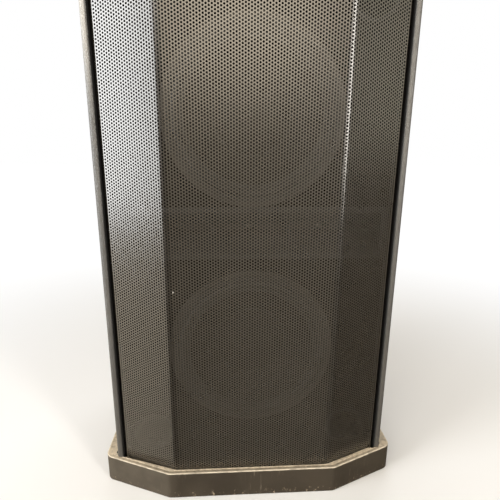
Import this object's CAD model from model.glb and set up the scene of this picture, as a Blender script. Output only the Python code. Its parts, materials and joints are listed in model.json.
"""Looks of the line array speaker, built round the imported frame. Metres, +Z up, grille towards -Y."""

import json
from math import asin, cos, pi, radians, sin, sqrt, tan

import bpy
import numpy as np
from mathutils import Matrix, Vector
from mathutils.geometry import tessellate_polygon


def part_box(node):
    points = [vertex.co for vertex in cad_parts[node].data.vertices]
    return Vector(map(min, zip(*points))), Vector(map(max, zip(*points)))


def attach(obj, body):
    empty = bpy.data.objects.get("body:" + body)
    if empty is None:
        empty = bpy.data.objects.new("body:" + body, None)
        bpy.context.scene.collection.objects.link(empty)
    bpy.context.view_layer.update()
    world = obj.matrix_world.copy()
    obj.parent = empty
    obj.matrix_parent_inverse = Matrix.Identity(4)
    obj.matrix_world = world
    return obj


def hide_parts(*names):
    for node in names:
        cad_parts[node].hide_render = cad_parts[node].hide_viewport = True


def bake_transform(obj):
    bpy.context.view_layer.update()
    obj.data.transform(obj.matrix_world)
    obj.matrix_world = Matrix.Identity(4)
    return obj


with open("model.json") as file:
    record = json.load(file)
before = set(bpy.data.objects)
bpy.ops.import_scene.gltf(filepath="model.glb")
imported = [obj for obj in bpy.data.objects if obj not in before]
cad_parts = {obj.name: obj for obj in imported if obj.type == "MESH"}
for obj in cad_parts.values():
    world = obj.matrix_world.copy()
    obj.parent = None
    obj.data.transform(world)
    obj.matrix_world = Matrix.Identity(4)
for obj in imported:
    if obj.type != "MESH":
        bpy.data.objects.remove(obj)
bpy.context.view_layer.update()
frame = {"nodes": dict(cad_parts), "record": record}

MM = 0.001
CABINET = "cabinet"


def connect(tree, socket, value):
    if isinstance(value, bpy.types.NodeSocket):
        tree.links.new(value, socket)
    elif isinstance(value, tuple) and len(socket.default_value) == 4:
        socket.default_value = (*value[:3], 1)
    else:
        socket.default_value = value


def new_node(tree, kind, feeds, **settings):
    """Adds a shader node; feeds give its sockets, by name or number, a value or another node's output."""
    made = tree.nodes.new("ShaderNode" + kind)
    for key, value in settings.items():
        setattr(made, key, value)
    for key, value in feeds.items():
        connect(tree, made.inputs[key], value)
    return made


# ---- camera and stage

CAMERA_PLACE = (-0.0454, -0.8316, 0.6321)
PITCH, YAW, ROLL = (radians(angle) for angle in (14.16, 3.5, 0.39))
LENS = 28.8

# brightness of the surroundings, by degrees round from straight before the grille, left negative
SKY_LEVELS = ((-80, 0.5), (-72, 1.7), (-53, 1.7), (-46, 0.01), (-12, 0.01), (-6, 0.42), (16, 0.38), (26, 0.07),
              (35, 0.5), (41, 0.5), (50, 0.06))

# name, place, point aimed at, width and height, power, colour
LIGHTS = (
    ("window_left", (-2.65, -1.3, 1.3), (0, -0.2, 1.3), (1.3, 2.5), 86, (0.92, 0.96, 1.0)),
    ("wall_front", (0.1, -3.2, 2.0), (0, -0.2, 0.7), (1.6, 1.8), 34, (1.0, 0.87, 0.68)),
    ("wall_left", (-1.35, -2.4, 2.15), (0, -0.2, 0.7), (1.0, 1.0), 26, (1.0, 0.92, 0.8)),
    ("strip_right", (1.6, -2.1, 1.5), (0, -0.2, 1.5), (0.4, 2.1), 42, (1.0, 0.95, 0.87)),
    ("room_right", (2.7, -1.1, 1.25), (0, -0.2, 1.25), (1.4, 1.3), 6, (1.0, 0.95, 0.74)),
    ("ceiling_back", (0.4, 2.2, 2.6), (0, 0.2, 0.6), (2.4, 1.6), 40, (1, 1, 1)),
)


def place_camera():
    """Stands the camera in front of the grille, a little left of centre, looking down at it."""
    forward = Vector((cos(PITCH) * sin(YAW), cos(PITCH) * cos(YAW), -sin(PITCH)))
    level_right = Vector((cos(YAW), -sin(YAW), 0))
    level_down = forward.cross(level_right)
    right = cos(ROLL) * level_right - sin(ROLL) * level_down
    down = sin(ROLL) * level_right + cos(ROLL) * level_down
    data = bpy.data.cameras.new("camera")
    data.sensor_width = 36
    data.lens = LENS
    data.clip_end = 100
    camera = bpy.data.objects.new("camera", data)
    axes = Matrix((right, -down, -forward)).transposed()
    camera.matrix_world = Matrix.Translation(CAMERA_PLACE) @ axes.to_4x4()
    bpy.context.scene.collection.objects.link(camera)
    bpy.context.scene.camera = camera


def area_light(name, place, target, size, power, colour):
    data = bpy.data.lights.new(name, "AREA")
    data.shape = "RECTANGLE"
    data.size, data.size_y = size
    data.energy = power
    data.color = colour
    light = bpy.data.objects.new(name, data)
    aim = (Vector(target) - Vector(place)).to_track_quat("-Z", "Y")
    light.matrix_world = Matrix.Translation(place) @ aim.to_matrix().to_4x4()
    bpy.context.scene.collection.objects.link(light)


def sky():
    """White to the camera; as light, soft grey surroundings whose brightness changes with the direction."""
    world = bpy.data.worlds.new("studio")
    bpy.context.scene.world = world
    world.use_nodes = True
    world.node_tree.nodes.clear()

    def made(kind, *feeds, **settings):
        return new_node(world.node_tree, kind, dict(enumerate(feeds)), **settings).outputs

    split = made("SeparateXYZ", made("TexCoord")["Generated"])
    forward = made("Math", split["Y"], -1.0, operation="MULTIPLY")[0]
    azimuth = made("Math", split["X"], forward, operation="ARCTAN2")[0]
    around = made("MapRange", azimuth, -pi / 2, pi / 2, 0.0, 1.0)[0]
    ramp = made("ValToRGB", around)[0]
    stops = ramp.node.color_ramp.elements
    for degrees, level in SKY_LEVELS:
        stops.new((degrees + 90) / 180).color = (level, level, level, 1)
    stops[0].color, stops[-1].color = (0.4, 0.4, 0.4, 1), (0.08, 0.08, 0.08, 1)
    height = made("MapRange", split["Z"], -0.75, -0.2, 0.68, 1.0)[0]
    strength = made("Math", ramp, height, operation="MULTIPLY")[0]
    lighting = made("Background", (1.0, 0.88, 0.69), strength)[0]
    seen = made("Background", (1, 1, 1), 1.0)[0]
    made("OutputWorld", made("MixShader", made("LightPath")["Is Camera Ray"], lighting, seen)[0])


def build_stage():
    """A wide pale floor, and large soft lights to the left, the front and the right."""
    floor_size = 30
    bpy.ops.mesh.primitive_grid_add(x_subdivisions=30, y_subdivisions=30, size=floor_size)
    floor = bpy.context.object
    floor.name = "floor"
    floor.data.name = "floor"
    look = Look("floor_paper", (0.84, 0.845, 0.86), 0.9)
    radius = look.math("DIVIDE", look.vector("LENGTH", look.place), floor_size)
    look.feed("Emission Color", (1, 1, 1))
    look.feed("Emission Strength", look.fade(radius, 0.012, 0.06))
    look.coat((0, 0, 0), look.fade(radius, 0.012, 0.06))
    look.bump(look.noise(900), 0.00003)
    floor.data.materials.append(look.material)
    floor.visible_glossy = False
    sky()
    for light in LIGHTS:
        area_light(*light)


# ---- materials

class Look:
    """A Principled material being built; the methods add nodes and hand back their outputs."""

    def __init__(self, name, base, roughness, **constants):
        self.name = name
        self.material = bpy.data.materials.new(name)
        self.material.use_nodes = True
        self.tree = self.material.node_tree
        self.shader = self.tree.nodes["Principled BSDF"]
        self.base = base
        self.feed("Base Color", base)
        self.feed("Roughness", roughness)
        for socket_name, value in constants.items():
            self.feed(socket_name, value)
        self.place = self.node("TexCoord").outputs["Object"]
        self.normal = None

    def node(self, kind, feeds=None, **settings):
        return new_node(self.tree, kind, feeds or {}, **settings)

    def feed(self, name, value):
        connect(self.tree, self.shader.inputs[name], value)

    def math(self, operation, a, b=0.0):
        return self.node("Math", {0: a, 1: b}, operation=operation).outputs[0]

    def vector(self, operation, a, b=(0, 0, 0)):
        made = self.node("VectorMath", {0: a, 1: b}, operation=operation)
        return made.outputs["Value" if operation in ("LENGTH", "DOT_PRODUCT") else "Vector"]

    def axis(self, letter):
        return self.node("SeparateXYZ", {0: self.place}).outputs[letter]

    def across(self):
        """Distance from the middle plane."""
        return self.math("ABSOLUTE", self.axis("X"))

    def noise(self, scale, detail=3.0, place=None, distortion=0.0):
        feeds = {"Vector": place or self.place, "Scale": scale, "Detail": detail, "Distortion": distortion}
        return self.node("TexNoise", feeds).outputs["Fac"]

    def drawn(self, scales, detail, distortion=0.0):
        """Noise stretched into lines: a scale for each axis."""
        return self.noise(1, detail, self.vector("MULTIPLY", self.place, scales), distortion)

    def cells(self, scale, feature="F1"):
        return self.node("TexVoronoi", {"Vector": self.place, "Scale": scale}, feature=feature).outputs["Distance"]

    def waves(self, scale, distortion, axis="X"):
        feeds = {"Vector": self.place, "Scale": scale, "Distortion": distortion}
        return self.node("TexWave", feeds, bands_direction=axis).outputs["Fac"]

    def fade(self, value, start, stop, low=0.0, high=1.0):
        """Smooth change from low at start to high at stop."""
        if start > stop:
            start, stop, low, high = stop, start, high, low
        feeds = {"Value": value, "From Min": start, "From Max": stop, "To Min": low, "To Max": high}
        return self.node("MapRange", feeds, interpolation_type="SMOOTHSTEP").outputs[0]

    def both(self, product, *masks):
        for mask in masks:
            product = self.math("MULTIPLY", product, mask)
        return product

    def either(self, most, *masks):
        for mask in masks:
            most = self.math("MAXIMUM", most, mask)
        return most

    def blend(self, factor, a, b):
        return self.node("Mix", {0: factor, 6: a, 7: b}, data_type="RGBA").outputs[2]

    def coat(self, colour, *masks):
        """Covers the colour so far with another one where the masks are high."""
        self.base = self.blend(self.both(*masks), self.base, colour)
        self.feed("Base Color", self.base)

    def two_tone(self, mask, low_colour, high_colour, relief, depth):
        self.feed("Base Color", self.blend(mask, low_colour, high_colour))
        self.bump(relief, depth)
        return self

    def patchy(self, least, scale, spread):
        """A value that drifts between least and least plus spread."""
        return self.math("ADD", least, self.both(self.noise(scale, 4), spread))

    def attribute(self, name):
        return self.node("Attribute", attribute_name=name).outputs["Fac"]

    def soft_edges(self, radius):
        """Rounds the shading of every sharp edge and hands back a mask that is 1 on them."""
        self.normal = self.node("Bevel", {"Radius": radius}, samples=4).outputs[0]
        self.feed("Normal", self.normal)
        true = self.node("NewGeometry").outputs["Normal"]
        return self.fade(self.vector("DOT_PRODUCT", self.normal, true), 0.985, 0.8)

    def bump(self, height, depth):
        """Adds relief of a depth in metres over the shading so far."""
        feeds = {"Height": height, "Distance": depth}
        if self.normal is not None:
            feeds["Normal"] = self.normal
        self.normal = self.node("Bump", feeds).outputs[0]
        self.feed("Normal", self.normal)

    def spots(self, *places_and_radii):
        """Small ragged patches, each round a point of the frame and with its own reach along every axis."""
        masks = []
        for place, radii in places_and_radii:
            scaled = self.vector("DIVIDE", self.vector("SUBTRACT", self.place, place), radii)
            ragged = self.math("MULTIPLY", self.noise(900, 2), 0.7)
            reach = self.math("ADD", self.vector("LENGTH", scaled), ragged)
            masks.append(self.fade(reach, 1.45, 1.25))
        return self.either(*masks)


def grille_paint():
    """Satin black powder coat gone brown with dust, more so near the foot, chipped where it was knocked."""
    crease_in, crease_out, blur = 137 * MM, 146.5 * MM, 3.5 * MM
    foot_top, foot_bottom = 85 * MM, 52 * MM
    large_chip = (-0.1335, -0.2035, 0.402), (0.0006, 0.01, 0.0024)
    small_chip = (-0.1325, -0.2035, 0.389), (0.0005, 0.01, 0.001)
    look = Look("grille_paint", (0.038, 0.031, 0.022), 0.3, IOR=2.05)
    look.coat((0.06, 0.049, 0.035), look.fade(look.noise(22, 6, distortion=0.4), 0.4, 0.7), 0.22)
    across = look.across()
    crease = look.both(look.fade(across, crease_in - blur, crease_in), look.fade(across, crease_out + blur, crease_out))
    look.coat((0.01, 0.0075, 0.005), crease, 0.35)
    foot = look.fade(look.axis("Z"), foot_top, foot_bottom)
    look.coat((0.3, 0.24, 0.16), foot, look.fade(look.noise(240, 3), 0.45, 0.7), 0.3)
    look.coat((0.62, 0.6, 0.55), look.spots(large_chip, small_chip))
    inside = look.fade(look.attribute("inside"), 0.0, 0.3)
    look.coat((0.004, 0.0038, 0.0035), inside)
    look.feed("Roughness", look.either(look.patchy(0.25, 35, 0.06), look.both(inside, 0.85)))
    look.bump(look.noise(1500, 2), 0.00001)
    return look


def panel_paint():
    """Hard-wearing grey-brown cabinet paint, sprayed on as a close spatter, rubbed pale on the edges."""
    board_middle, blur = 249.2 * MM, 1.4 * MM
    look = Look("panel_paint", (0.034, 0.031, 0.027), 0.5, IOR=2.2)
    wear = look.soft_edges(3.5 * MM)
    look.coat((0.05, 0.045, 0.038), look.fade(look.noise(7, 4), 0.35, 0.7))
    look.coat((0.13, 0.115, 0.09), look.fade(look.noise(40, 6, distortion=1.5), 0.62, 0.8), 0.35)
    look.coat((0.36, 0.32, 0.27), wear, look.fade(look.noise(26, 5, distortion=0.4), 0.5, 0.72), 0.8)
    front = look.fade(look.axis("Y"), -0.12, -0.14)
    left_half = look.fade(look.axis("X"), -board_middle, -board_middle - blur)
    look.coat((0.4, 0.38, 0.35), left_half, front, look.fade(look.axis("Z"), 0.66, 0.86), 0.8)
    look.coat((0.003, 0.003, 0.0028), look.fade(look.across(), board_middle, board_middle - blur), front)
    look.feed("Roughness", look.patchy(0.44, 60, 0.2))
    look.bump(look.math("ADD", look.cells(430, "SMOOTH_F1"), look.noise(800, 3)), 0.00045)
    return look


def cap_moulding():
    """Dark brown-grey moulded plastic: fine leathery grain, scuffed faces, a rubbed rim, dusty ledges."""
    chips = [((-0.2395, -0.1875, 0.0425), (0.003, 0.004, 0.002)), ((-0.214, -0.2, 0.0515), (0.003, 0.004, 0.0015))]
    notches = [((side * 0.2605, -0.153, 0.053), (0.0024, 0.0045, 0.004)) for side in (-1, 1)]
    left_facet = (-0.13, -0.17)
    look = Look("cap_moulding", (0.034, 0.0255, 0.0165), 0.5)
    look.coat((0.048, 0.037, 0.0245), look.fade(look.noise(11, 5, distortion=0.5), 0.35, 0.68))
    streaks = look.fade(look.drawn((420, 420, 26), 4), 0.6, 0.74)
    look.coat((0.24, 0.2, 0.15), streaks, look.fade(look.noise(16, 3), 0.5, 0.64), 0.5)
    scuffed = look.fade(look.noise(30, 5), 0.3, 0.6, 0.5, 1.0)
    look.coat((0.074, 0.06, 0.043), look.fade(look.axis("X"), *left_facet), scuffed)
    flecks = look.fade(look.noise(170, 4, distortion=1.0), 0.6, 0.7)
    look.coat((0.5, 0.4, 0.28), flecks, look.fade(look.axis("Z"), 18 * MM, 6 * MM), 0.55)
    rubbed = look.math("ADD", look.both(look.fade(look.noise(60, 5), 0.3, 0.55), 0.45), 0.55)
    look.coat((0.8, 0.71, 0.57), look.attribute("wear"), rubbed)
    film = look.fade(look.noise(120, 4, distortion=0.8), 0.3, 0.62, 0.55, 1.0)
    look.coat((0.6, 0.51, 0.385), look.attribute("dust"), film)
    look.coat((0.85, 0.83, 0.78), look.spots(*chips))
    look.coat((0.003, 0.003, 0.003), look.spots(*notches))
    look.feed("Roughness", look.patchy(0.46, 45, 0.2))
    look.bump(look.math("ADD", look.cells(1400, "SMOOTH_F1"), look.noise(2200, 2)), 0.00006)
    return look


def plain_paint(name, base, roughness, grain, depth, edge=0.0, pale=None, **constants):
    """A sprayed or moulded finish with cloudy tone, uneven gloss, fine grain and, if asked, rubbed edges."""
    spread = 0.16
    look = Look(name, base, roughness, **constants)
    look.coat(tuple(channel * 1.5 + 0.004 for channel in base), look.fade(look.noise(14, 4), 0.35, 0.7))
    if edge:
        look.coat(pale, look.soft_edges(edge), look.fade(look.noise(60, 4), 0.45, 0.7))
    look.feed("Roughness", look.patchy(roughness - spread / 2, 70, spread))
    look.bump(look.noise(grain, 3), depth)
    return look


def bright_metal(name, base, roughness):
    """Plated or bare metal with fine drawn lines and dull patches."""
    look = Look(name, base, roughness, Metallic=1.0)
    look.soft_edges(0.4 * MM)
    dull = look.fade(look.noise(90, 5, distortion=0.5), 0.4, 0.75)
    look.coat(tuple(channel * 0.62 for channel in base), dull)
    look.feed("Roughness", look.math("ADD", roughness, look.both(dull, 0.2)))
    look.bump(look.drawn((900, 900, 60), 3), 0.00001)
    return look


def cone_paper():
    """Pressed black paper pulp: matted fibres and a soft sheen."""
    look = Look("cone_paper", (0.01, 0.0092, 0.0082), 0.65, IOR=1.3)
    fibres = look.drawn((260, 900, 340), 5, 2.5)
    look.coat((0.026, 0.0235, 0.02), look.fade(fibres, 0.4, 0.66))
    look.bump(look.math("ADD", fibres, look.noise(1200, 3)), 0.0001)
    return look


def plywood():
    """Birch ply: long pale grain on the faces."""
    look = Look("bare_plywood", (0.42, 0.29, 0.17), 0.65)
    look.coat((0.58, 0.42, 0.26), look.fade(look.drawn((14, 170, 170), 6, 1.2), 0.35, 0.7))
    look.bump(look.drawn((60, 900, 900), 3), 0.00008)
    return look


def open_foam():
    """Soft grey open-cell foam."""
    look = Look("foam", (0.05, 0.05, 0.054), 0.95)
    pores = look.cells(420)
    return look.two_tone(look.fade(pores, 0.15, 0.5), (0.012, 0.012, 0.014), (0.085, 0.085, 0.09), pores, 0.0012)


def spider_cloth():
    """Resin-stiffened woven cloth of the spiders."""
    look = Look("spider_cloth", (0.32, 0.2, 0.09), 0.8)
    threads = look.both(look.waves(260, 0.6), look.waves(260, 0.6, "Z"))
    return look.two_tone(threads, (0.18, 0.11, 0.045), (0.45, 0.3, 0.15), threads, 0.0002)


def wound_copper():
    """Enamelled copper wire, laid turn beside turn."""
    look = Look("copper", (0.72, 0.3, 0.14), 0.3, Metallic=1.0)
    turns = look.waves(320, 0.3, "Y")
    return look.two_tone(turns, (0.36, 0.12, 0.05), (0.85, 0.4, 0.2), turns, 0.0003)


def circuit_board():
    """Green solder mask with faint copper tracks under it."""
    look = Look("circuit_board", (0.012, 0.11, 0.045), 0.35)
    tracks = look.fade(look.cells(70, "DISTANCE_TO_EDGE"), 0.05, 0.09)
    return look.two_tone(tracks, (0.05, 0.2, 0.08), look.base, tracks, 0.00005)


# name, base colour, roughness, scale and depth of the grain, radius and colour of rubbed edges
PLAIN_PAINTS = (
    ("rubber", (0.024, 0.0235, 0.0225), 0.62, 700, 0.00006),
    ("cast_frame", (0.034, 0.031, 0.027), 0.42, 600, 0.00012, 0.8 * MM, (0.16, 0.15, 0.13)),
    ("ferrite", (0.04, 0.041, 0.044), 0.55, 350, 0.0002, 1.0 * MM, (0.12, 0.12, 0.13)),
    ("black_steel", (0.018, 0.018, 0.019), 0.34, 900, 0.00003, 0.5 * MM, (0.32, 0.31, 0.3)),
    ("black_plastic", (0.02, 0.02, 0.021), 0.45, 1300, 0.00005, 0.8 * MM, (0.1, 0.1, 0.1)),
    ("motor_paint", (0.05, 0.05, 0.053), 0.5, 500, 0.0001, 0.8 * MM, (0.25, 0.25, 0.25)),
    ("capacitor_film", (0.6, 0.46, 0.1), 0.35, 400, 0.00008),
    ("grip_rubber", (0.018, 0.018, 0.018), 0.7, 500, 0.00012),
)
LOOKS = {look.name: look.material for look in (
    panel_paint(), grille_paint(), cap_moulding(), plywood(), open_foam(), cone_paper(), wound_copper(),
    spider_cloth(), circuit_board(), bright_metal("zinc_steel", (0.66, 0.63, 0.56), 0.28),
    bright_metal("titanium", (0.5, 0.49, 0.48), 0.3),
    plain_paint("baffle_paint", (0.005, 0.0048, 0.0045), 0.8, 500, 0.0001, IOR=1.2),
    *(plain_paint(*paint) for paint in PLAIN_PAINTS))}


def dress_cad_nodes():
    """Gives every CAD node the look of its slot in the record."""
    for part in frame["record"]["subparts"]:
        mesh = frame["nodes"][part["node"]].data
        mesh.materials.clear()
        mesh.materials.append(LOOKS[part["material_slot"]])


# ---- mesh helpers

def add_piece(name, mesh, slot, body=CABINET, replaces=()):
    """Puts a mesh, made in the row frame, in the scene as a piece with its look, slot and body."""
    piece = bpy.data.objects.new(name, mesh)
    bpy.context.scene.collection.objects.link(piece)
    mesh.materials.append(LOOKS[slot])
    if body:
        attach(piece, body)
    if replaces:
        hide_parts(*replaces)
    return piece


def mesh_from(name, vertices, faces, sharp_angle):
    """A smooth-shaded mesh, sharp where its faces meet at more than sharp_angle degrees."""
    mesh = bpy.data.meshes.new(name)
    mesh.from_pydata([tuple(v) for v in vertices], [], [tuple(f) for f in faces])
    mesh.update(calc_edges=True)
    mesh.shade_smooth()
    mesh.set_sharp_from_angle(angle=radians(sharp_angle))
    return mesh


class Shell:
    """Vertices, faces and named values per vertex, gathered before they become one mesh."""

    def __init__(self):
        self.vertices = []
        self.faces = []
        self.values = {}

    def ring(self, points, **values):
        start = len(self.vertices)
        self.vertices.extend(Vector(p) for p in points)
        for name, value in values.items():
            for index in range(start, len(self.vertices)):
                here = value(self.vertices[index]) if callable(value) else value
                self.values.setdefault(name, {})[index] = here
        return list(range(start, len(self.vertices)))

    def loft(self, a, b, closed=True):
        count = len(a)
        for i in range(count if closed else count - 1):
            j = (i + 1) % count
            self.faces.append((a[i], a[j], b[j], b[i]))

    def rings(self, rows, closed=True):
        """Joins rows of points, each alone or paired with its values, and hands back the index rings."""
        made = [self.ring(row[0], **row[1]) if isinstance(row, tuple) else self.ring(row) for row in rows]
        for a, b in zip(made, made[1:]):
            self.loft(a, b, closed)
        return made

    def plate(self, outline, holes=(), facing=1):
        """Fills between an outline and the holes in it, all index rings in one plane."""
        loops = [outline, *holes]
        flat = [index for loop in loops for index in loop]
        triangles = tessellate_polygon([[self.vertices[i] for i in loop] for loop in loops])
        for triangle in triangles:
            corners = [flat[i] for i in triangle]
            a, b, c = (self.vertices[i] for i in corners)
            area = (b - a).cross(c - a).z
            if area:
                self.faces.append(tuple(corners if area * facing > 0 else reversed(corners)))

    def box(self, low, high):
        corners = rectangle(low[0], low[1], high[0], high[1])
        bottom, top = (self.ring([(x, y, z) for x, y in corners]) for z in (low[2], high[2]))
        self.loft(bottom, top)
        self.faces.extend((tuple(reversed(bottom)), tuple(top)))

    def mesh(self, name, sharp_angle):
        """The shell as a mesh, turned right side out where its faces look inwards."""
        volume = 0.0
        for first, *rest in self.faces:
            for second, third in zip(rest, rest[1:]):
                volume += self.vertices[first].dot(self.vertices[second].cross(self.vertices[third]))
        if volume < 0:
            self.faces = [tuple(reversed(face)) for face in self.faces]
        mesh = mesh_from(name, self.vertices, self.faces, sharp_angle)
        for value_name, values in self.values.items():
            attribute = mesh.attributes.new(value_name, "FLOAT", "POINT")
            attribute.data.foreach_set("value", [values.get(i, 0.0) for i in range(len(self.vertices))])
        return mesh

    def piece(self, name, slot, sharp_angle, replaces=(), body=CABINET):
        """Puts the shell in the scene as a piece of that name."""
        return add_piece(name, self.mesh(name, sharp_angle), slot, body, replaces)


def angles(start, stop, steps):
    """Evenly spaced angles in radians, from start to stop in degrees."""
    return [radians(start + (stop - start) * k / steps) for k in range(steps + 1)]


def arc(centre, radius, start, stop, steps):
    """Points of an arc in a plane; a negative radius puts it on the far side of the centre."""
    return [(centre[0] + radius * cos(a), centre[1] + radius * sin(a)) for a in angles(start, stop, steps)]


def circle(x, y, radius, steps=48):
    return arc((x, y), radius, 0, 360, steps)[:-1]


def rectangle(low_x, low_y, high_x, high_y):
    """Its corners, counter-clockwise from the lowest one."""
    return [(low_x, low_y), (high_x, low_y), (high_x, high_y), (low_x, high_y)]


LEAST_ROUNDING = 0.3 * MM


def rounded_outline(corners, radii, steps=8):
    """A polygon, counter-clockwise, with each corner rounded by its own radius."""
    points = []
    count = len(corners)
    for i, radius in enumerate(radii):
        here = Vector(corners[i])
        before = (Vector(corners[i - 1]) - here).normalized()
        after = (Vector(corners[(i + 1) % count]) - here).normalized()
        half = before.angle(after) / 2
        centre = here + (before + after).normalized() * radius / sin(half)
        start = here + before * radius / tan(half) - centre
        sweep = pi - 2 * half
        for k in range(steps + 1):
            points.append(centre + Matrix.Rotation(sweep * k / steps, 2) @ start)
    return points


def inset_outline(corners, radii, inset, steps=8):
    """The same outline drawn in by inset, with as many points."""
    moved = []
    count = len(corners)
    for i in range(count):
        here = Vector(corners[i])
        along_in = (here - Vector(corners[i - 1])).normalized()
        along_out = (Vector(corners[(i + 1) % count]) - here).normalized()
        normal_in, normal_out = Vector((-along_in.y, along_in.x)), Vector((-along_out.y, along_out.x))
        moved.append(here + (normal_in + normal_out) * inset / (1 + normal_in.dot(normal_out)))
    return rounded_outline(moved, [max(radius - inset, LEAST_ROUNDING) for radius in radii], steps)


def lathe(shell, profile, place, steps, start=0, stop=360):
    """Turns a closed profile of (radius, y) round the line through place along Y."""
    whole = stop - start == 360
    around = angles(start, stop, steps)[:-1 if whole else None]
    made = shell.rings([[(place[0] + radius * cos(a), y, place[1] + radius * sin(a)) for a in around]
                        for radius, y in profile], whole)
    shell.loft(made[-1], made[0], whole)
    return made


# ---- grille

FACET_W = 284 * MM
WING_W = 107.6 * MM
WING_ANGLE = radians(22.4)
FOLD_R = 30 * MM
EDGE_R = 3 * MM
SHEET_T = 1.5 * MM
WEB_T = 0.6 * MM
HOLE_R = 1.75 * MM
HOLE_PITCH = 5 * MM
BORDER = 2.4 * MM
HEM_D = 12 * MM
STRIPS = 8


class FoldedSheet:
    """The grille's folded path seen from above, measured along its outer face from the centre."""

    def __init__(self, front_y):
        self.front_y = front_y
        fold_reach = FOLD_R * tan(WING_ANGLE / 2)
        self.edge_turn = pi / 2 - WING_ANGLE
        edge_reach = EDGE_R * tan(self.edge_turn / 2)
        self.flat_half = FACET_W / 2 - fold_reach
        self.fold_length = FOLD_R * WING_ANGLE
        self.wing_length = WING_W - fold_reach - edge_reach
        self.half = self.flat_half + self.fold_length + self.wing_length

    def place(self, s, depth):
        """X and Y of points at distances s along the sheet and depth behind its outer face."""
        side = np.sign(s)
        s = np.abs(s)
        turn = np.clip((s - self.flat_half) / FOLD_R, 0, WING_ANGLE)
        wing = np.clip(s - self.flat_half - self.fold_length, 0, None)
        radius = FOLD_R - depth
        x = np.minimum(s, self.flat_half) + radius * np.sin(turn) + wing * cos(WING_ANGLE)
        y = self.front_y + FOLD_R - radius * np.cos(turn) + wing * sin(WING_ANGLE)
        return side * x, y


class Perforation:
    """A sheet's side full of round holes in staggered columns, with a plain straight border.

    Corners of a hole are numbered from 0 at 15 degrees, every 30 degrees, seen from outside."""

    CORNERS = 12

    def __init__(self, columns, rows, step, low_z, border_s, border_z):
        self.columns, self.rows, self.step, self.low_z = columns, rows, step, low_z
        self.points = []
        corners = [radians(15 + 30 * k) for k in range(self.CORNERS)]
        for i in range(columns):
            for j in range(rows):
                s, z = self.centre(i, j)
                self.points.extend((s + HOLE_R * cos(a), z + HOLE_R * sin(a)) for a in corners)
        self.below, self.above = ([self.extra(self.centre(i, 0)[0], z) for i in range(columns)] for z in border_z)
        self.sides = []
        for side, column in ((-1, 0), (1, columns - 1)):
            first = self.centre(column, 0)[1] - HOLE_PITCH / 2
            chain = [self.extra(side * border_s, first + HOLE_PITCH / 2 * k) for k in range(2 * rows + 1)]
            ends = [self.extra(side * border_s, z) for z in border_z]
            self.sides.append((column, chain, ends))

    def centre(self, i, j):
        return (i - (self.columns - 1) / 2) * self.step, self.low_z + (j + i % 2 / 2) * HOLE_PITCH

    def extra(self, s, z):
        self.points.append((s, z))
        return len(self.points) - 1

    def hole(self, i, j):
        start = (i * self.rows + j) * self.CORNERS
        return range(start, start + self.CORNERS)

    def column_faces(self, i):
        """Bridges from a column's holes to the next ones, and the gaps between each three."""
        faces = []
        last = self.rows - 1
        for j in range(self.rows):
            a = self.hole(i, j)
            rise = j + i % 2
            if j < last:
                up = self.hole(i, j + 1)
                faces.append((a[3], a[2], up[9], up[8]))
                if i + 1 < self.columns:
                    b = self.hole(i + 1, rise)
                    faces.append((a[2], a[1], b[6], b[5], up[10], up[9]))
                if i > 0:
                    c = self.hole(i - 1, rise)
                    faces.append((a[3], up[8], up[7], c[0], c[11], a[4]))
            if i + 1 < self.columns:
                if rise <= last:
                    b = self.hole(i + 1, rise)
                    faces.append((a[1], a[0], b[7], b[6]))
                if rise > 0:
                    b = self.hole(i + 1, rise - 1)
                    faces.append((a[11], a[10], b[5], b[4]))
        return faces

    def end_faces(self, i):
        """The plain border under and over a column, and on to the next one."""
        low, high = self.hole(i, 0), self.hole(i, self.rows - 1)
        b, t = self.below[i], self.above[i]
        faces = [(b, low[9], low[8]), (t, high[3], high[2])]
        if i + 1 < self.columns:
            c, d = self.hole(i + 1, 0), self.hole(i + 1, self.rows - 1)
            foot, head = ((c[6], c[5]), (high[0], high[11])) if i % 2 else ((low[0], low[11]), (d[6], d[5]))
            faces.append((b, self.below[i + 1], c[8], c[7], *foot, low[10], low[9]))
            faces.append((high[2], high[1], *head, d[4], d[3], self.above[i + 1], t))
        return faces

    def side_faces(self, column, chain, ends):
        """The plain border left of the first column or, mirrored, right of the last one."""
        right = column > 0
        order = [(17 - k) % 12 if right else k for k in range(12)]
        holes = [[self.hole(column, j)[k] for k in order] for j in range(self.rows)]
        faces = []
        for j, p in enumerate(holes):
            low, mid, high = chain[2 * j:2 * j + 3]
            faces += [(low, p[8], p[7], mid), (mid, p[7], p[6]), (mid, p[6], p[5]), (mid, p[5], p[4]),
                      (mid, p[4], p[3], high)]
            if j + 1 < self.rows:
                faces.append((high, p[3], holes[j + 1][8]))
        faces.append((ends[0], self.below[column], holes[0][8], chain[0]))
        faces.append((chain[-1], holes[-1][3], self.above[column], ends[1]))
        return [face[::-1] for face in faces] if right else faces


def edges(face):
    return zip(face, face[1:] + face[:1])


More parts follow.
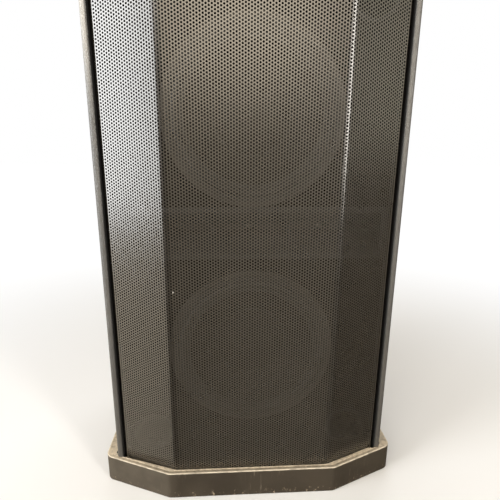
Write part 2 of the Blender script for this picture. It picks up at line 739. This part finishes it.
def build_grille():
    """The folded sheet with every hole cut, in upright strips, and its plain hems."""
    low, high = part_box("front_grille")
    sheet = FoldedSheet(low.y)
    step = HOLE_PITCH * sqrt(3) / 2
    columns = 2 * int((sheet.half - BORDER) / step + 0.5)
    first_z = low.z + 2 * HOLE_R
    rows = int((high.z - first_z - HOLE_PITCH / 2 - BORDER) / HOLE_PITCH) + 1
    plan = Perforation(columns, rows, step, first_z, sheet.half, (low.z, high.z))
    count = len(plan.points)
    s, z = np.array(plan.points).T
    vertices = np.vstack([np.column_stack((*sheet.place(s, depth), z)) for depth in (0.0, WEB_T)])
    fronts = [[face for i in range(strip * columns // STRIPS, (strip + 1) * columns // STRIPS)
               for face in plan.column_faces(i) + plan.end_faces(i)] for strip in range(STRIPS)]
    for front, side in zip((fronts[0], fronts[-1]), plan.sides):
        front += plan.side_faces(*side)
    every_edge = {edge for front in fronts for face in front for edge in edges(face)}
    for number, front in enumerate(fronts, 1):
        back = [tuple(v + count for v in reversed(face)) for face in front]
        walls = [(b, a, a + count, b + count) for face in front for a, b in edges(face) if (b, a) not in every_edge]
        faces = front + back + walls
        used = sorted({v for face in faces for v in face})
        renumbered = {v: i for i, v in enumerate(used)}
        name = f"grille_sheet_{number}"
        mesh = mesh_from(name, vertices[used].tolist(), [[renumbered[v] for v in face] for face in faces], 35)
        mesh.attributes.new("inside", "FLOAT", "POINT").data.foreach_set("value", [float(v >= count) for v in used])
        add_piece(name, mesh, "grille_paint", replaces=("front_grille",))
    build_grille_hems(sheet, low, high)


def build_grille_hems(sheet, low, high):
    """The turned-in edges: rounded and folded back at the sides, turned inwards at foot and head."""
    x_end, y_end = sheet.place(np.array([sheet.half]), 0.0)
    centre = Vector((float(x_end[0]), float(y_end[0]))) + Vector((-sin(WING_ANGLE), cos(WING_ANGLE))) * EDGE_R
    outer, inner = [], []
    for turn in (WING_ANGLE + sheet.edge_turn * k / 6 for k in range(7)):
        facing = Vector((sin(turn), -cos(turn)))
        outer.append(centre + facing * EDGE_R)
        inner.append(centre + facing * (EDGE_R - SHEET_T))
    outer.append(Vector((outer[-1].x, high.y)))
    inner.append(Vector((inner[-1].x, high.y)))
    loop = outer + inner[::-1]
    for side, name in ((-1, "grille_hem_left"), (1, "grille_hem_right")):
        shell = Shell()
        bottom, top = shell.rings([[(side * p.x, p.y, z) for p in loop] for z in (low.z, high.z)])
        if side < 0:
            shell.faces = [tuple(reversed(face)) for face in shell.faces]
        shell.plate(bottom, facing=-1)
        shell.plate(top, facing=1)
        shell.piece(name, "grille_paint", 35, ("front_grille",))
    steps = np.linspace(-sheet.half, sheet.half, 61)
    for name, z0, z1 in (("grille_hem_foot", low.z, low.z + SHEET_T), ("grille_hem_head", high.z - SHEET_T, high.z)):
        outer = np.column_stack(sheet.place(steps, SHEET_T))
        inner = np.column_stack(sheet.place(steps, HEM_D))
        shell = Shell()
        sections = [shell.ring([(*o, z0), (*i, z0), (*i, z1), (*o, z1)]) for o, i in zip(outer, inner)]
        for a, b in zip(sections, sections[1:]):
            shell.loft(a, b)
        shell.faces += [tuple(reversed(sections[0])), tuple(sections[-1])]
        shell.piece(name, "grille_paint", 35, ("front_grille",))


# ---- end caps

CAP_FRONT_W = 308 * MM
CAP_CORNER_D = 53 * MM
CAP_RADII = tuple(r * MM for r in (30, 30, 18, 22, 22, 18))
CAP_EDGE_R = 2 * MM
CAP_PLATE = 6 * MM
CABINET_W = 516 * MM
POCKET_GAP = 1.5 * MM
BEAD_R = 1.1 * MM
RIM_BEAD = 5 * MM
GROOVE = 3 * MM
GROOVE_D = 1.3 * MM
LEDGE_DIP = 0.3 * MM
LEAST_R = 0.5 * MM


def clipped(points, fence):
    """The part of an outline inside a convex fence; both are counter-clockwise lists of points."""
    for a, b in zip(fence, fence[1:] + fence[:1]):
        kept = []
        for p, q in zip(points, points[1:] + points[:1]):
            side_p, side_q = ((b - a).cross(point - a) for point in (p, q))
            if side_p >= 0:
                kept.append(p)
            if side_p * side_q < 0:
                kept.append(p.lerp(q, side_p / (side_p - side_q)))
        points = kept
    return points


def cap_corners(low, high):
    """Corners of a cap's outline, counter-clockwise from the rear right."""
    return [(high.x, high.y), (low.x, high.y), (low.x, low.y + CAP_CORNER_D), (-CAP_FRONT_W / 2, low.y),
            (CAP_FRONT_W / 2, low.y), (high.x, low.y + CAP_CORNER_D)]


def pocket_outline(sheet, gap):
    """The cabinet's footprint, front facets and all, widened by a gap."""
    panel_low, panel_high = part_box("left_side_panel")
    wing_x = FACET_W / 2 + WING_W * cos(WING_ANGLE)
    wing_y = sheet.front_y + WING_W * sin(WING_ANGLE)
    right = [(FACET_W / 2, sheet.front_y), (wing_x, wing_y), (wing_x, panel_low.y), (CABINET_W / 2, panel_low.y),
             (CABINET_W / 2, panel_high.y)]
    left = [(-x, y) for x, y in reversed(right)]
    corners = right[-1:] + left + right[:-1]
    return inset_outline(corners, [LEAST_R] * 5 + [FOLD_R, FOLD_R] + [LEAST_R] * 3, -gap, 6)


def build_cap(name, node, upside_down, wells):
    """One moulded tray: rounded plate edge, worn bead, dirt groove, dusty land and the cabinet's pocket."""
    low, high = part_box(node)
    corners = cap_corners(low, high)
    tall = high.z - low.z
    rim = tall - BEAD_R

    def level(inset, z, **values):
        return [(p.x, p.y, z) for p in inset_outline(corners, CAP_RADII, inset)], values

    def settled(place):
        """Dust lies thick on the side ledges and thin on the narrow front rim."""
        return 1.0 if abs(place.x) > CABINET_W / 2 else 0.5

    shell = Shell()
    face = [level(CAP_EDGE_R - CAP_EDGE_R * sin(a), CAP_EDGE_R - CAP_EDGE_R * cos(a), wear=0.0)
            for a in angles(0, 90, 8)]
    face.append(level(0, tall - 2 * MM, wear=0.0))
    bead = [level(BEAD_R - BEAD_R * cos(a), rim + BEAD_R * sin(a), wear=0.25 + 0.75 * sin(a))
            for a in angles(0, 90, 4)]
    bead.append(level(1.7 * MM, tall, wear=0.5, dust=settled))
    groove = [level(RIM_BEAD - BEAD_R + BEAD_R * sin(a), rim + BEAD_R * cos(a), dust=settled)
              for a in angles(0, 90, 4)]
    groove += [level(RIM_BEAD + inset, tall - GROOVE_D, dust=settled) for inset in (0.2 * MM, GROOVE - 0.2 * MM)]
    land = [level(RIM_BEAD + GROOVE, tall - LEDGE_DIP, dust=0.8), level(RIM_BEAD + GROOVE + LEDGE_DIP, tall, dust=1.0)]
    made = shell.rings(face + bead + groove + land)
    for vertex in (shell.vertices[i] for ring in made[-len(groove + land):-len(land)] for i in ring):
        if abs(vertex.x) > CABINET_W / 2 + POCKET_GAP:
            vertex.z = max(vertex.z, tall - LEDGE_DIP)
    fence = inset_outline(corners, CAP_RADII, RIM_BEAD + GROOVE + 2 * LEDGE_DIP)
    edge = clipped(pocket_outline(FoldedSheet(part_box("front_grille")[0].y), POCKET_GAP), fence)
    pocket = shell.rings([([(p.x, p.y, z) for p in edge], {"dust": dust})
                          for z, dust in ((tall, 1.0), (tall - 0.6 * MM, 0.5), (CAP_PLATE, 0.0))])
    shell.plate(made[-1], [pocket[0]], facing=1)
    under, through = [], []
    for x, y, radius, depth in wells:
        mouth, end = (shell.ring([(px, py, z) for px, py in circle(x, y, radius)]) for z in (0, depth))
        shell.loft(end, mouth)
        under.append(mouth)
        if depth < CAP_PLATE:
            shell.plate(end, facing=-1)
        else:
            through.append(end)
    shell.plate(made[0], under, facing=-1)
    shell.plate(pocket[-1], through, facing=1)
    for x in (-200, -100, 0, 100, 200):
        shell.box(((x - 2.5) * MM, -140 * MM, CAP_PLATE), ((x + 2.5) * MM, 190 * MM, 14 * MM))
    for v in shell.vertices:
        v.z = high.z - v.z if upside_down else low.z + v.z
    shell.piece(name, "cap_moulding", 30, (node,))


def build_caps():
    """The two caps, with wells under them as (x, y, radius, depth)."""
    feet = [(x, y, 15.2 * MM, 3 * MM) for x in (-210 * MM, 210 * MM) for y in (-110 * MM, 170 * MM)]
    screws = [(x, y, 6.5 * MM, 2 * MM) for x in (-150 * MM, 150 * MM) for y in (-90 * MM, 130 * MM)]
    fly = [(x, 30 * MM, 8.3 * MM, CAP_PLATE) for x in (-150 * MM, 150 * MM)]
    build_cap("bottom_cap_moulding", "bottom_cap", False, feet + screws)
    build_cap("top_cap_moulding", "top_cap", True, screws + fly)


# ---- cabinet

HANDLE_FLANGE = 11 * MM


def mirrored(shell, side):
    """Turns a shell drawn for the right-hand side into the one for that side."""
    for v in shell.vertices:
        v.x *= side
    return shell


def build_side_panels():
    """Boards with a well-rounded outer front edge, open where the handle cup sits."""
    low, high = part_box("right_side_panel")
    cup_low, cup_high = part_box("right_handle_cup")
    y0, y1 = cup_low.y + HANDLE_FLANGE, cup_high.y - HANDLE_FLANGE
    z0, z1 = cup_low.z + HANDLE_FLANGE, cup_high.z - HANDLE_FLANGE
    arcs = rounded_outline(rectangle(low.x, low.y, high.x, high.y), (1.5 * MM, 5 * MM, 2 * MM, 0.5 * MM))
    half = len(arcs) // 2
    outline = [*arcs[:half], (high.x, y0), (high.x, y1), *arcs[half:], (low.x, y1), (low.x, y0)]
    o0, o1, i1, i0 = half, half + 1, len(outline) - 2, len(outline) - 1
    for side, name in ((-1, "left"), (1, "right")):
        shell = Shell()
        r = [shell.ring([(x, y, z) for x, y in outline]) for z in (low.z, z0, z1, high.z)]
        for a, b in zip(r, r[1:]):
            shell.loft(a, b)
        p, q = r[1:3]
        opened = {(p[o0], p[o1], q[o1], q[o0]), (p[i1], p[i0], q[i0], q[i1])}
        shell.faces = [face for face in shell.faces if face not in opened]
        shell.faces += [(p[o0], p[o1], p[i1], p[i0]), (q[i0], q[i1], q[o1], q[o0]), (p[o0], p[i0], q[i0], q[o0]),
                        (p[i1], p[o1], q[o1], q[i1]), tuple(reversed(r[0])), tuple(r[3])]
        mirrored(shell, side).piece(f"{name}_side_board", "panel_paint", 30, (f"{name}_side_panel",))


def build_handles():
    """Moulded cups with rounded corners, ribbed grips and dome-headed screws."""
    low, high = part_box("right_handle_cup")
    bar_low, bar_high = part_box("right_handle_bar")
    wall, corner_r, floor_r, lip_r = 2.5 * MM, 14 * MM, 9 * MM, 2.2 * MM
    corners = rectangle(low.y, low.z, high.y, high.z)

    def level(inset, x):
        return [(x, p.x, p.y) for p in inset_outline(corners, [corner_r + inset * 0.3] * 4, inset)]

    face_x, floor_x = high.x - wall, low.x + wall
    mouth = HANDLE_FLANGE + wall
    rows = [level(HANDLE_FLANGE, low.x), level(HANDLE_FLANGE, face_x), level(0, face_x),
            level(0, high.x - 1 * MM), level(0.3 * MM, high.x - 0.3 * MM), level(1 * MM, high.x),
            level(mouth - lip_r, high.x)]
    rows += [level(mouth - lip_r + lip_r * sin(a), high.x - lip_r + lip_r * cos(a))
             for a in angles(0, 90, 5)[1:]]
    rows += [level(mouth + floor_r - floor_r * cos(a), floor_x + floor_r - floor_r * sin(a))
             for a in angles(0, 90, 5)]
    radius, core_r = (bar_high.z - bar_low.z) / 2, 0.2 * MM
    valley_r, rib_r = radius - 0.9 * MM, radius - 0.1 * MM
    ribs, first, last = 19, bar_low.y + 14 * MM, bar_high.y - 14 * MM
    rib_w = (last - first) / ribs
    profile = [(core_r, bar_low.y), (radius, bar_low.y), (radius, first - 2 * MM), (valley_r, first - 1 * MM)]
    for k in range(ribs):
        profile += [(valley_r, first + rib_w * k), (rib_r, first + rib_w * (k + 0.25)),
                    (rib_r, first + rib_w * (k + 0.75))]
    profile += [(valley_r, last + 1 * MM), (radius, last + 2 * MM), (radius, bar_high.y), (core_r, bar_high.y)]
    for side, name in ((-1, "left"), (1, "right")):
        shell = Shell()
        made = shell.rings(rows)
        shell.faces += [tuple(made[-1]), tuple(reversed(made[0]))]
        mirrored(shell, side).piece(f"{name}_handle_moulding", "black_plastic", 40, (f"{name}_handle_cup",))
        shell = Shell()
        lathe(shell, profile, (side * (bar_low.x + bar_high.x) / 2, (bar_low.z + bar_high.z) / 2), 48)
        shell.piece(f"{name}_grip", "grip_rubber", 50, (f"{name}_handle_bar",))


def screw(shell, base, axis, head_r, head_h, socket_r, shank_r, shank_l):
    """A dome-headed screw with a hexagon socket, its head's underside at base, pointing along axis."""
    turn = Vector((0, 0, 1)).rotation_difference(Vector(axis)).to_matrix()
    around = angles(0, 360, 24)[:-1]

    def level(height, reach):
        return [Vector(base) + turn @ Vector((reach(a) * cos(a), reach(a) * sin(a), height)) for a in around]

    def disc(radius, height):
        return level(height, lambda a: radius)

    def hexagon(radius, height):
        return level(height, lambda a: radius * cos(pi / 6) / cos((a % (pi / 3)) - pi / 6))

    rows = [disc(shank_r, -shank_l), disc(shank_r, 0), disc(head_r, 0)]
    rows += [disc(head_r * (1 - 0.4 * k * k / 16), head_h * (0.45 + 0.55 * sin(pi / 8 * k)))
             for k in range(5)]
    rows += [hexagon(socket_r, head_h), hexagon(socket_r * 0.95, head_h * 0.35)]
    made = shell.rings(rows)
    shell.faces += [tuple(reversed(made[0])), tuple(made[-1])]


def build_screws():
    """Screws of the handles, the connector plate and the end caps, at the places of the CAD ones."""
    low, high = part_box("right_handle_cup")
    inset = HANDLE_FLANGE - 5 * MM
    handles = [((side * high.x, y, z), (side, 0, 0), 4 * MM, 2 * MM, 1.6 * MM, 2 * MM, 12 * MM) for side in (-1, 1)
               for y in (low.y + inset, high.y - inset) for z in (low.z + inset, high.z - inset)]
    low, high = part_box("plate_screws")
    plate_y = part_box("input_plate")[1].y
    plate = [((x, plate_y, z), (0, 1, 0), 4 * MM, 2.4 * MM, 1.6 * MM, 2 * MM, 13 * MM)
             for x in (low.x + 4 * MM, (low.x + high.x) / 2, high.x - 4 * MM)
             for z in (low.z + 4 * MM, high.z - 4 * MM)]
    low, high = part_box("cap_screws")
    head_r = 5.5 * MM
    caps = [((x, y, z), (0, 0, up), head_r, 1.8 * MM, 2.2 * MM, 2.8 * MM, 25 * MM)
            for x in (low.x + head_r, high.x - head_r) for y in (low.y + head_r, high.y - head_r)
            for z, up in ((low.z + 2 * MM, -1), (high.z - 2 * MM, 1))]
    for name, screws in (("handle", handles), ("plate", plate), ("cap", caps)):
        shell = Shell()
        for sizes in screws:
            screw(shell, *sizes)
        shell.piece(f"{name}_screw_set", "zinc_steel", 35, (f"{name}_screws",))


def build_feet():
    """Rubber pads with a rounded tread and a moulded ring."""
    low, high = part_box("rubber_feet")
    radius, tall, middle_r = 15 * MM, high.z - low.z, 0.2 * MM
    profile = [(middle_r, 0.5 * MM), (5 * MM, 0.5 * MM), (6 * MM, 0), (radius - 1.2 * MM, 0),
               (radius - 0.3 * MM, 0.35 * MM), (radius, 1.2 * MM), (radius, tall), (middle_r, tall)]
    shell = Shell()
    for x in (low.x + radius, high.x - radius):
        for y in (low.y + radius, high.y - radius):
            made = shell.rings([[(px, py, low.z + z) for px, py in circle(x, y, r)] for r, z in profile])
            shell.faces += [tuple(made[-1]), tuple(reversed(made[0]))]
    shell.piece("foot_pads", "rubber", 35, ("rubber_feet",))


# ---- woofers

CONE_T = 1.4 * MM
NECK_R = 50.3 * MM


def build_woofer(name):
    """Cone, dust cap, and a surround and spider that flex between the frame and the cone."""
    body = f"{name}_cone_assembly"
    frame_low, frame_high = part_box(f"{name}_frame")
    centre = (0.0, (frame_low.z + frame_high.z) / 2)
    low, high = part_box(f"{name}_cone")
    cone_r = (high.x - low.x) / 2
    lip_r, neck_y = cone_r - 7 * MM, high.y - CONE_T
    steps, ribs = 28, 5
    front = []
    for t in (k / steps for k in range(steps + 1)):
        rib = 0.35 * MM * sin(2 * pi * ribs * t) if 0.08 <= t <= 0.95 else 0
        front.append((lip_r + (NECK_R - lip_r) * t, low.y + (neck_y - low.y) * t + rib))
    back = [(NECK_R, high.y)] + [(r, y + CONE_T) for r, y in reversed(front[1:-1])]
    back += [(lip_r, low.y + CONE_T), (cone_r, low.y + CONE_T)]
    shell = Shell()
    lathe(shell, [(cone_r, low.y)] + front + back, centre, 120)
    shell.piece(f"{name}_cone_body", "cone_paper", 45, (f"{name}_cone",), body)

    low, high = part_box(f"{name}_dust_cap")
    cap_r, rise, middle_r = (high.x - low.x) / 2, 20 * MM, 0.1 * MM
    ball_r = (cap_r ** 2 + rise ** 2) / (2 * rise)
    half = asin(cap_r / ball_r)
    dome = [(max(ball_r * sin(a), middle_r), low.y + ball_r * (1 - cos(a)))
            for a in (half * k / 14 for k in range(15))]
    inner = [(max(r - 0.3 * MM, middle_r), y + 0.9 * MM) for r, y in reversed(dome)]
    shell = Shell()
    lathe(shell, dome + inner, centre, 96)
    shell.piece(f"{name}_dust_dome", "cone_paper", 45, (f"{name}_dust_cap",), body)
    shell = Shell()
    lathe(shell, arc((cap_r + 0.4 * MM, dome[-1][1] - 0.2 * MM), 1.3 * MM, 0, 330, 11), centre, 96)
    shell.piece(f"{name}_glue_bead", "rubber", 60, body=body)

    build_surround(name, centre, frame_low.y, lip_r)
    build_spider(name, centre)


def build_surround(name, centre, plane, lip_r):
    """A rubber half-roll in two rings that meet on its crest: the outer one stays, the inner one flexes."""
    low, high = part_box(f"{name}_surround")
    landing_r = (high.x - low.x) / 2
    roll_r, roll_w, skin = 127 * MM, 7 * MM, 1 * MM
    for part, stop, flat in (("outer", 180, landing_r), ("inner", 0, lip_r)):
        crest = arc((roll_r, plane), -roll_w, 90, stop, 10)
        crest[-1] = (crest[-1][0], plane - skin * 0.6)
        under = arc((roll_r, plane), skin - roll_w, stop, 90, 10)
        shell = Shell()
        lathe(shell, crest + [(flat, plane - skin), (flat, plane)] + under, centre, 120)
        piece = shell.piece(f"{name}_surround_{part}", "rubber", 50, (f"{name}_surround",),
                            CABINET if part == "outer" else None)
        if part == "inner":
            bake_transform(piece)


def build_spider(name, centre):
    """Corrugated cloth in eight sectors, each flexing along its own radius."""
    low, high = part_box(f"{name}_spider")
    outer, inner, flat, waves, sectors = (high.x - low.x) / 2, 50.4 * MM, 8 * MM, 4, 8
    rim = outer - flat
    middle = high.y - 1.5 * MM
    steps = 10 * waves
    top = [(inner + (rim - inner) * k / steps, middle - 1.1 * MM * sin(2 * pi * waves * k / steps))
           for k in range(steps + 1)] + [(outer, middle)]
    profile = top + [(r, y + 0.7 * MM) for r, y in reversed(top)]
    for sector in range(sectors):
        start, stop = 360 * sector / sectors, 360 * (sector + 1) / sectors
        shell = Shell()
        made = lathe(shell, profile, centre, 12, start, stop)
        shell.faces += [tuple(ring[0] for ring in made), tuple(ring[-1] for ring in reversed(made))]
        piece = shell.piece(f"{name}_spider_{sector + 1}", "spider_cloth", 60, (f"{name}_spider",), None)
        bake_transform(piece)


place_camera()
build_stage()
dress_cad_nodes()
build_grille()
build_caps()
build_side_panels()
build_handles()
build_screws()
build_feet()
for woofer in ("lower", "upper"):
    build_woofer(woofer)
bpy.context.scene.view_settings.view_transform = "Standard"
